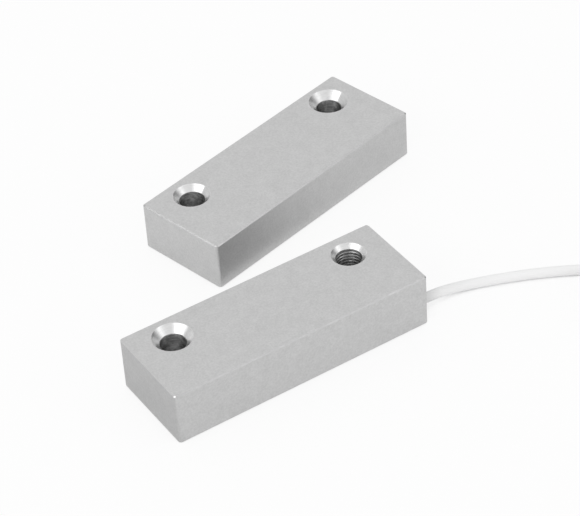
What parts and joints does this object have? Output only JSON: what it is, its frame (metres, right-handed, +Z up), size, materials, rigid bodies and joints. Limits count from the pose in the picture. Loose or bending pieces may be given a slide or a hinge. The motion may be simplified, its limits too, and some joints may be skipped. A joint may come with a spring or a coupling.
{
  "type": "magnetic contact",
  "caption": "Surface-mount magnetic contact: aluminium switch block with a lead, and a separate magnet block, both with countersunk screw holes along one edge.",
  "frame": {"origin": "middle of the switch block's underside, on the surface that both blocks stand on", "axes": "+X along the switch block towards the end where the lead comes out, +Y across it towards the screw-hole edge, +Z up from the mounting surface"},
  "size_m": [0.1149, 0.1339, 0.0123],
  "materials": {
    "blasted_aluminium": "fine blasted and clear anodised, bright where machined",
    "potting_resin": "poured and cured, glossy",
    "board_laminate": "lacquered glass-fibre laminate",
    "reed_glass": "clear, melted at the seals",
    "reed_blade": "plated nickel-iron",
    "solder": "bright tin solder",
    "copper_strand": "bright stranded copper",
    "core_red": "extruded insulation",
    "core_black": "extruded insulation",
    "cord_jacket": "satin extruded white jacket",
    "tie_plastic": "natural nylon",
    "tinned_wire": "tinned strand",
    "cast_magnet": "ground cast magnet alloy"
  },
  "bodies": {
    "root": {"switch_housing": "blasted_aluminium", "switch_potting": "potting_resin", "circuit_board": "board_laminate", "reed_glass": "reed_glass", "reed_blade_left": "reed_blade", "reed_blade_right": "reed_blade", "reed_solder_left": "solder", "reed_solder_right": "solder", "core_solder_front": "solder", "core_solder_back": "solder", "core_conductor_front": "copper_strand", "core_conductor_back": "copper_strand", "core_insulation_front": "core_red", "core_insulation_back": "core_black", "cord_tube": "cord_jacket", "cord_coil": "cord_jacket", "cord_tail": "cord_jacket", "coil_tie": "tie_plastic", "tail_core_left": "core_red", "tail_core_right": "core_black", "tail_tip_left": "tinned_wire", "tail_tip_right": "tinned_wire", "magnet_housing": "blasted_aluminium", "bar_magnet": "cast_magnet", "magnet_potting": "potting_resin"}
  },
  "joints": []
}
